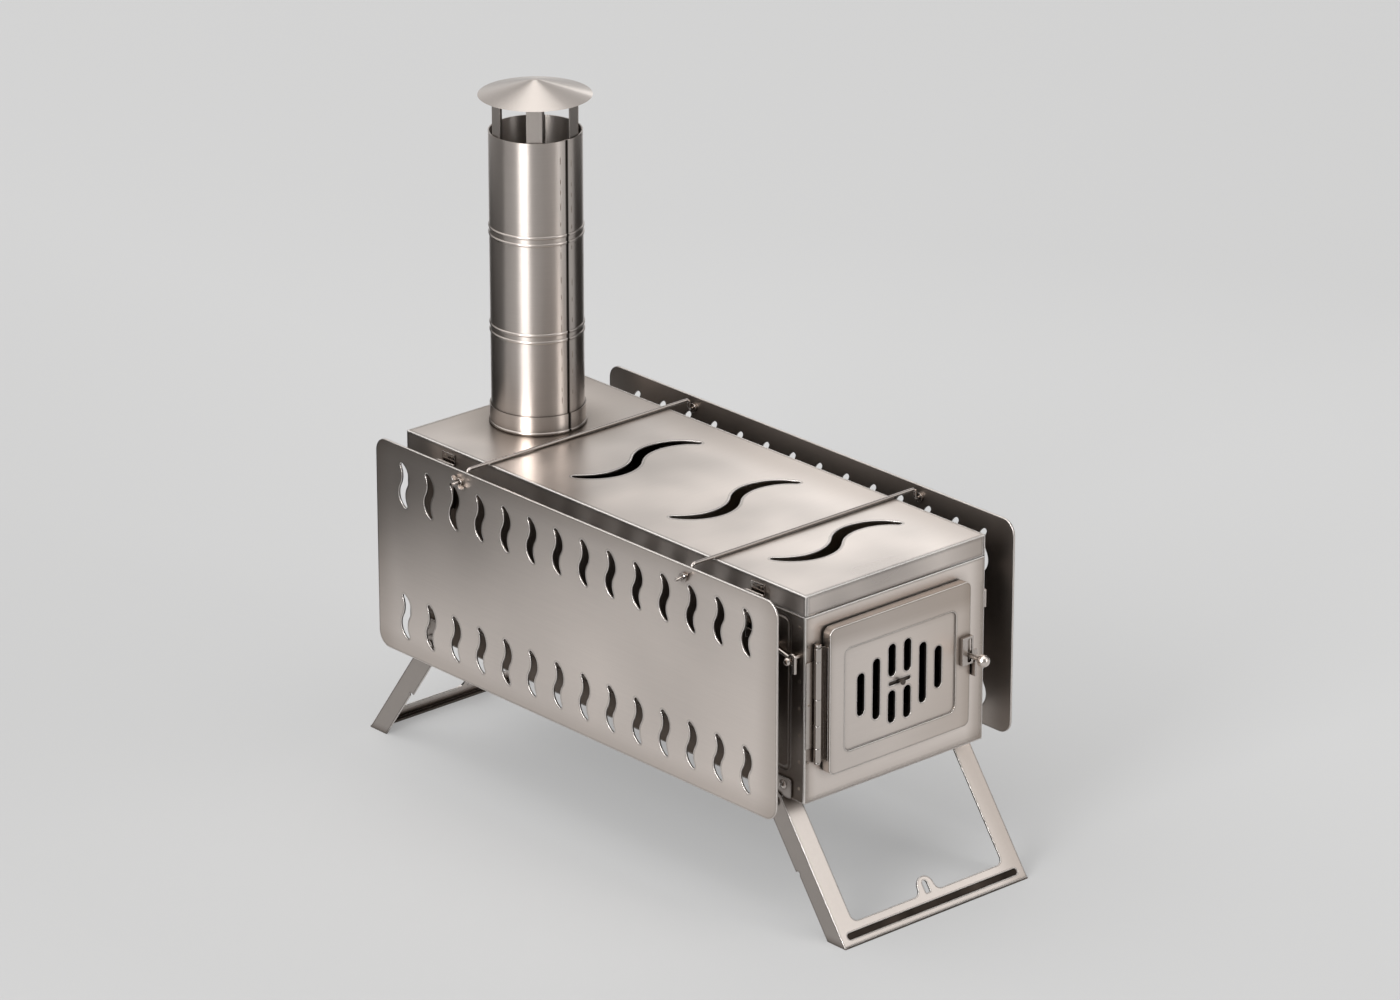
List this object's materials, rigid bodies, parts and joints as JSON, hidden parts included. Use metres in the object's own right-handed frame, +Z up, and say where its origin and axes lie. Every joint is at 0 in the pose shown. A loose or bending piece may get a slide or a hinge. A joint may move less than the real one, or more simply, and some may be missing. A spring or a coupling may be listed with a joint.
{
  "type": "portable sauna stove",
  "caption": "Folding sheet-steel tent sauna stove with slotted steam lid, side heat screens, splayed leg frames, vented door and sectional chimney with rain cap",
  "frame": {"origin": "centre of the stove's footprint on the floor", "axes": "X across the stove, Y from the door (minus) to the chimney (plus), Z up"},
  "size_m": [0.285, 0.6074, 0.597],
  "materials": {
    "satin_steel": "satin",
    "lid_steel": "satin",
    "bright_steel": "satin",
    "dark_steel": "heat-darkened"
  },
  "bodies": {
    "stove": {"body_shell": "satin_steel", "front_frame": "satin_steel", "back_plate": "satin_steel", "lid": "lid_steel", "steam_tray": "dark_steel", "fire_grate": "dark_steel", "side_screen_left": "satin_steel", "side_screen_right": "satin_steel", "cross_rod_front": "bright_steel", "cross_rod_rear": "bright_steel", "rod_stop_nuts": "bright_steel", "wing_nuts": "bright_steel", "hinge_body_leaf": "bright_steel", "hinge_pin": "bright_steel", "latch_keeper": "bright_steel", "leg_ears": "bright_steel", "ear_bolts": "bright_steel", "ear_nuts": "bright_steel", "leg_pivots": "bright_steel", "flue_collar": "satin_steel", "pipe_lower": "satin_steel", "pipe_middle": "satin_steel", "pipe_upper": "satin_steel", "rain_cap": "satin_steel", "cap_straps": "satin_steel", "lid_keepers": "bright_steel", "toggle_bases": "bright_steel", "hook_rivets": "bright_steel", "hook_pegs": "bright_steel"},
    "door_leaf": {"door": "satin_steel", "damper_rails": "dark_steel", "hinge_door_leaf": "bright_steel", "latch_guide": "bright_steel"},
    "damper_plate": {"air_damper": "dark_steel"},
    "latch_slide": {"latch_bar": "bright_steel", "latch_ball": "bright_steel"},
    "front_leg_frame": {"leg_front": "satin_steel"},
    "rear_leg_frame": {"leg_rear": "satin_steel"},
    "hook_right_body": {"hook_right": "bright_steel"},
    "hook_left_body": {"hook_left": "bright_steel"},
    "lever_right_front_body": {"lever_right_front": "bright_steel"},
    "bail_right_front_body": {"bail_right_front": "bright_steel"},
    "lever_right_rear_body": {"lever_right_rear": "bright_steel"},
    "bail_right_rear_body": {"bail_right_rear": "bright_steel"},
    "lever_left_front_body": {"lever_left_front": "bright_steel"},
    "bail_left_front_body": {"bail_left_front": "bright_steel"},
    "lever_left_rear_body": {"lever_left_rear": "bright_steel"},
    "bail_left_rear_body": {"bail_left_rear": "bright_steel"}
  },
  "joints": [
    {"name": "door_hinge", "type": "hinge", "parent": "stove", "child": "door_leaf", "pos_m": [-0.0895, -0.2536, 0.197], "axis": [0, 0, -1], "range_deg": [0, 115]},
    {"name": "damper_slide", "type": "slide", "parent": "door_leaf", "child": "damper_plate", "axis": [1, 0, 0], "range_m": [-0.0107, 0.0107]},
    {"name": "latch_slide_joint", "type": "slide", "parent": "door_leaf", "child": "latch_slide", "axis": [0, 0, 1], "range_m": [-0.0042, 0.0118]},
    {"name": "front_leg_fold", "type": "hinge", "parent": "stove", "child": "front_leg_frame", "pos_m": [0, -0.2194, 0.1044], "axis": [1, 0, 0], "range_deg": [0, 125]},
    {"name": "rear_leg_fold", "type": "hinge", "parent": "stove", "child": "rear_leg_frame", "pos_m": [0, 0.2194, 0.1044], "axis": [-1, 0, 0], "range_deg": [0, 125]},
    {"name": "hook_right_swing", "type": "hinge", "parent": "stove", "child": "hook_right_body", "pos_m": [0.102, -0.2375, 0.234], "axis": [1, 0, 0], "range_deg": [-95, 60]},
    {"name": "hook_left_swing", "type": "hinge", "parent": "stove", "child": "hook_left_body", "pos_m": [-0.102, -0.2375, 0.234], "axis": [1, 0, 0], "range_deg": [-95, 60]},
    {"name": "lever_right_front_swing", "type": "hinge", "parent": "stove", "child": "lever_right_front_body", "pos_m": [0.104, -0.194, 0.2597], "axis": [0, -1, 0], "range_deg": [0, 80]},
    {"name": "bail_right_front_swing", "type": "hinge", "parent": "lever_right_front_body", "child": "bail_right_front_body", "pos_m": [0.104, -0.194, 0.2517], "axis": [0, -1, 0], "range_deg": [-64, 0]},
    {"name": "lever_right_rear_swing", "type": "hinge", "parent": "stove", "child": "lever_right_rear_body", "pos_m": [0.104, 0.194, 0.2597], "axis": [0, -1, 0], "range_deg": [0, 80]},
    {"name": "bail_right_rear_swing", "type": "hinge", "parent": "lever_right_rear_body", "child": "bail_right_rear_body", "pos_m": [0.104, 0.194, 0.2517], "axis": [0, -1, 0], "range_deg": [-64, 0]},
    {"name": "lever_left_front_swing", "type": "hinge", "parent": "stove", "child": "lever_left_front_body", "pos_m": [-0.104, -0.194, 0.2597], "axis": [0, 1, 0], "range_deg": [0, 80]},
    {"name": "bail_left_front_swing", "type": "hinge", "parent": "lever_left_front_body", "child": "bail_left_front_body", "pos_m": [-0.104, -0.194, 0.2517], "axis": [0, 1, 0], "range_deg": [-64, 0]},
    {"name": "lever_left_rear_swing", "type": "hinge", "parent": "stove", "child": "lever_left_rear_body", "pos_m": [-0.104, 0.194, 0.2597], "axis": [0, 1, 0], "range_deg": [0, 80]},
    {"name": "bail_left_rear_swing", "type": "hinge", "parent": "lever_left_rear_body", "child": "bail_left_rear_body", "pos_m": [-0.104, 0.194, 0.2517], "axis": [0, 1, 0], "range_deg": [-64, 0]}
  ],
  "couplings": [
    {"joint": "bail_right_front_swing", "follows": "lever_right_front_swing", "ratio": -0.8},
    {"joint": "bail_right_rear_swing", "follows": "lever_right_rear_swing", "ratio": -0.8},
    {"joint": "bail_left_front_swing", "follows": "lever_left_front_swing", "ratio": -0.8},
    {"joint": "bail_left_rear_swing", "follows": "lever_left_rear_swing", "ratio": -0.8}
  ]
}
